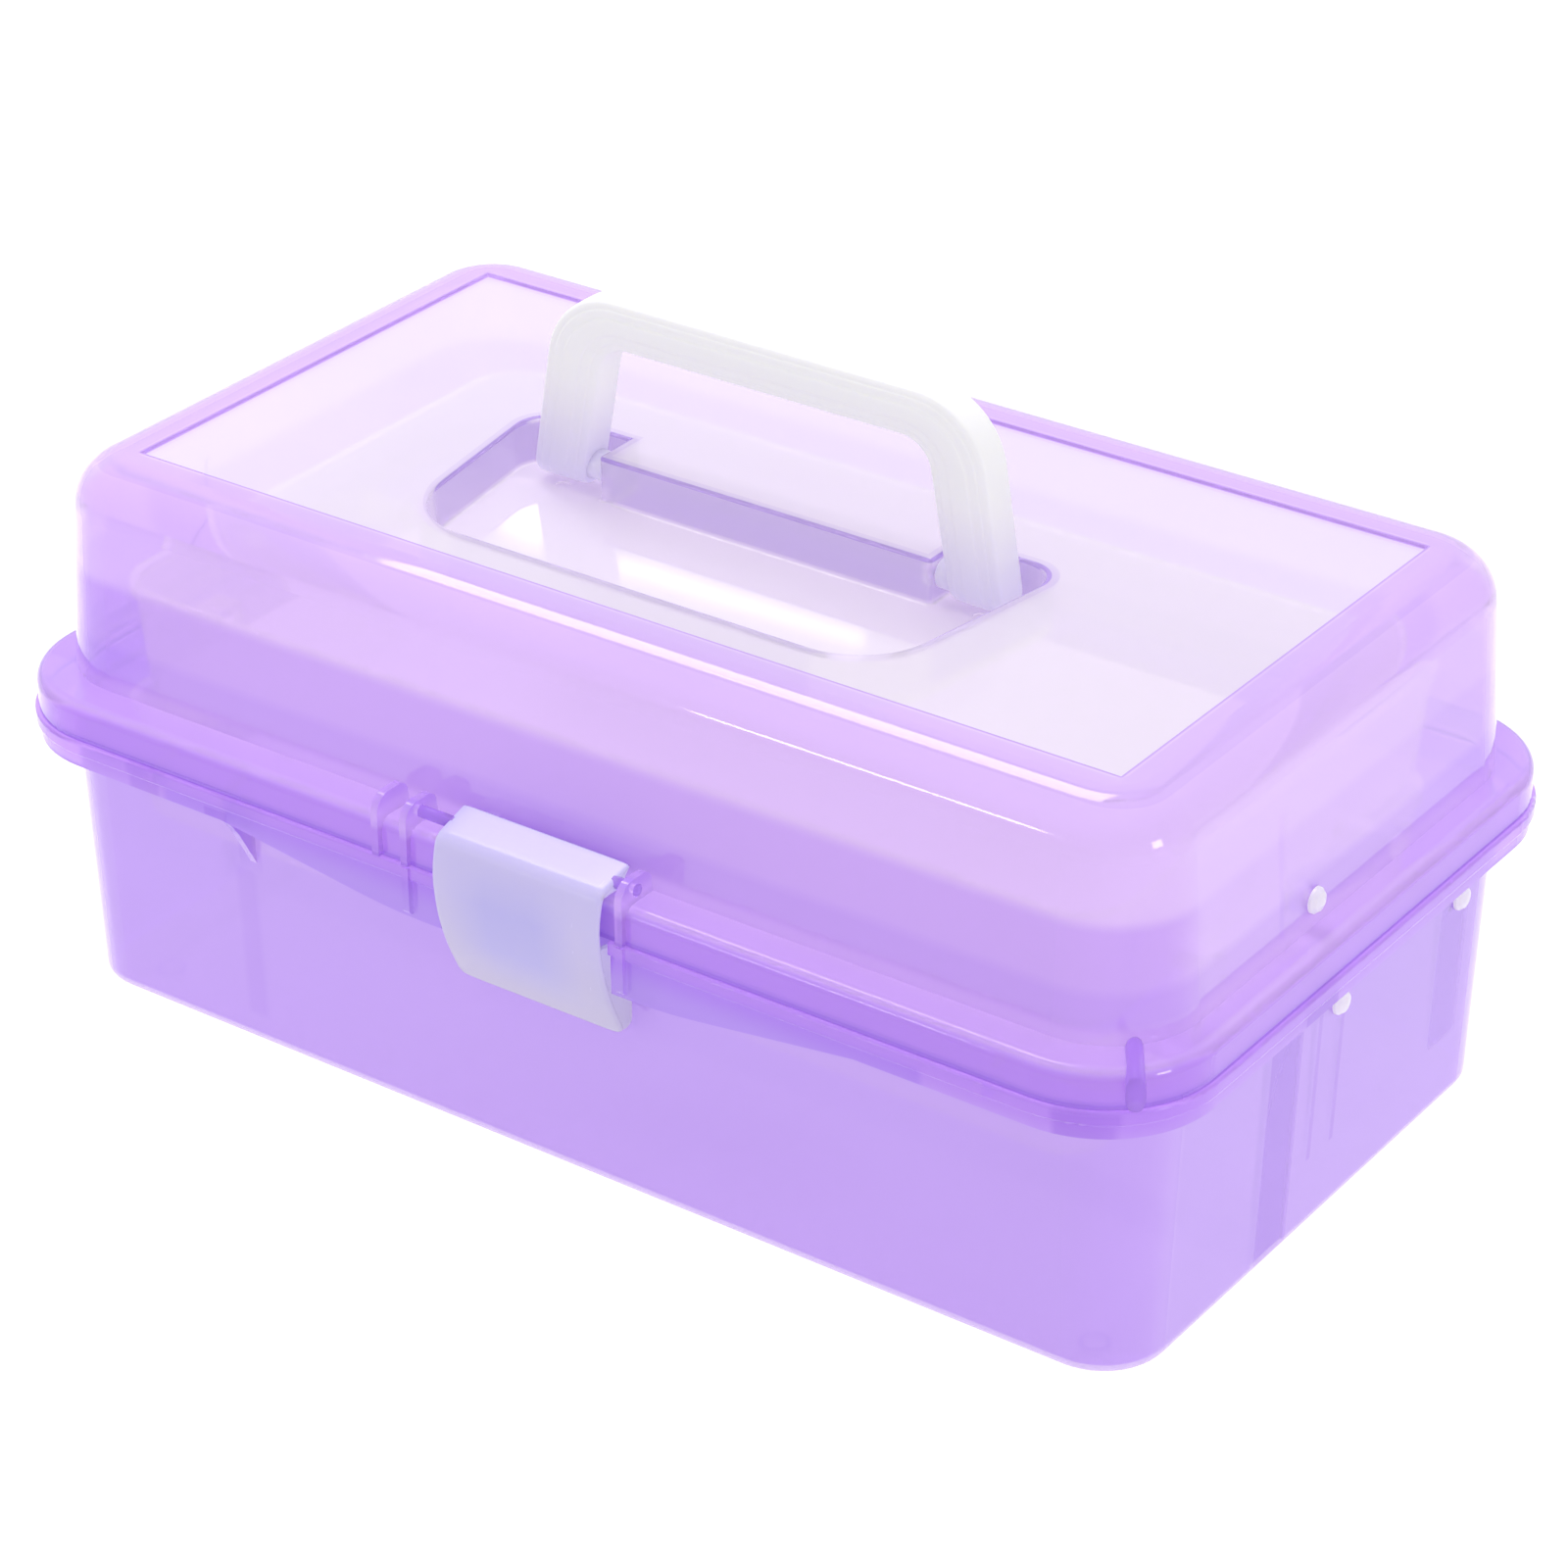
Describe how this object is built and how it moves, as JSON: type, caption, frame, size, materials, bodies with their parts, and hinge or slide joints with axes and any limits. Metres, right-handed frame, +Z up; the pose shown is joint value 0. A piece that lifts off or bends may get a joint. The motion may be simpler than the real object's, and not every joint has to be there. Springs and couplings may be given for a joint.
{
  "type": "tool box",
  "caption": "Portable tool box with a hinged domed lid, trays that rise on arms as it opens, a fold-down carrying handle and a front latch.",
  "frame": {"origin": "bottom centre of the closed box with its handle up", "axes": "+X along the box to its right end, -Y towards the latch, +Z up"},
  "size_m": [0.33, 0.2046, 0.181],
  "materials": {
    "tub_plastic": "see-through moulded lavender plastic",
    "lid_plastic": "see-through moulded lilac plastic",
    "tray_plastic": "see-through moulded lilac plastic",
    "handle_plastic": "milky white moulded plastic",
    "latch_plastic": "milky white moulded plastic",
    "arm_plastic": "see-through moulded lilac plastic",
    "rivet_plastic": "white plastic rivet",
    "pin_steel": "plain steel wire"
  },
  "bodies": {
    "base": {"base_tub": "tub_plastic", "base_front_rivet_left": "rivet_plastic", "base_front_rivet_right": "rivet_plastic", "base_rear_rivet_left": "rivet_plastic", "base_rear_rivet_right": "rivet_plastic", "hinge_pin_left": "pin_steel", "hinge_pin_right": "pin_steel"},
    "lid": {"lid_shell": "lid_plastic", "lid_rivet_left": "rivet_plastic", "lid_rivet_right": "rivet_plastic"},
    "handle": {"handle": "handle_plastic"},
    "latch": {"latch": "latch_plastic"},
    "lower_tray": {"lower_tray": "tray_plastic", "lower_front_rivet_left": "rivet_plastic", "lower_front_rivet_right": "rivet_plastic", "lower_rear_rivet_left": "rivet_plastic", "lower_rear_rivet_right": "rivet_plastic"},
    "upper_tray": {"upper_tray": "tray_plastic", "upper_rivet_left": "rivet_plastic", "upper_rivet_right": "rivet_plastic"},
    "front_arm_left": {"front_arm_left": "arm_plastic"},
    "rear_arm_left": {"rear_arm_left": "arm_plastic"},
    "lid_link_left": {"lid_link_left": "arm_plastic", "link_rivet_left": "rivet_plastic"},
    "front_arm_right": {"front_arm_right": "arm_plastic"},
    "rear_arm_right": {"rear_arm_right": "arm_plastic"},
    "lid_link_right": {"lid_link_right": "arm_plastic", "link_rivet_right": "rivet_plastic"}
  },
  "joints": [
    {"name": "lid_hinge", "type": "hinge", "parent": "base", "child": "lid", "pos_m": [0, 0.09892, 0.078], "axis": [-1, 0, 0], "range_deg": [0, 108]},
    {"name": "handle_pivot", "type": "hinge", "parent": "lid", "child": "handle", "pos_m": [0, -0.00158, 0.1355], "axis": [1, 0, 0], "range_deg": [0, 90]},
    {"name": "latch_pivot", "type": "hinge", "parent": "lid", "child": "latch", "pos_m": [0, -0.09428, 0.0894], "axis": [-1, 0, 0], "range_deg": [0, 55]},
    {"name": "front_arm_pivot_left", "type": "hinge", "parent": "base", "child": "front_arm_left", "pos_m": [-0.1507, -0.00138, 0.059], "axis": [-1, 0, 0], "range_deg": [0, 76]},
    {"name": "rear_arm_pivot_left", "type": "hinge", "parent": "base", "child": "rear_arm_left", "pos_m": [-0.1463, 0.05492, 0.059], "axis": [-1, 0, 0], "range_deg": [0, 76]},
    {"name": "lid_link_pivot_left", "type": "hinge", "parent": "lid", "child": "lid_link_left", "pos_m": [-0.1507, -0.01708, 0.0932], "axis": [-1, 0, 0], "range_deg": [0, 45.3]},
    {"name": "front_arm_pivot_right", "type": "hinge", "parent": "base", "child": "front_arm_right", "pos_m": [0.1507, -0.00138, 0.059], "axis": [-1, 0, 0], "range_deg": [0, 76]},
    {"name": "rear_arm_pivot_right", "type": "hinge", "parent": "base", "child": "rear_arm_right", "pos_m": [0.1463, 0.05492, 0.059], "axis": [-1, 0, 0], "range_deg": [0, 76]},
    {"name": "lid_link_pivot_right", "type": "hinge", "parent": "lid", "child": "lid_link_right", "pos_m": [0.1507, -0.01708, 0.0932], "axis": [-1, 0, 0], "range_deg": [0, 45.3]},
    {"name": "lower_tray_pivot", "type": "hinge", "parent": "rear_arm_right", "child": "lower_tray", "pos_m": [0.1463, 0.00754, 0.06231], "axis": [-1, 0, 0], "range_deg": [-76, 0]},
    {"name": "upper_tray_pivot", "type": "hinge", "parent": "rear_arm_right", "child": "upper_tray", "pos_m": [0.1463, -0.03985, 0.06563], "axis": [-1, 0, 0], "range_deg": [-76, 0]}
  ],
  "couplings": [
    {"joint": "front_arm_pivot_left", "follows": "lid_hinge", "ratio": 0.7037},
    {"joint": "rear_arm_pivot_left", "follows": "lid_hinge", "ratio": 0.7037},
    {"joint": "lid_link_pivot_left", "follows": "lid_hinge", "ratio": 0.41935},
    {"joint": "front_arm_pivot_right", "follows": "lid_hinge", "ratio": 0.7037},
    {"joint": "rear_arm_pivot_right", "follows": "lid_hinge", "ratio": 0.7037},
    {"joint": "lid_link_pivot_right", "follows": "lid_hinge", "ratio": 0.41935},
    {"joint": "lower_tray_pivot", "follows": "lid_hinge", "ratio": -0.7037},
    {"joint": "upper_tray_pivot", "follows": "lid_hinge", "ratio": -0.7037}
  ]
}
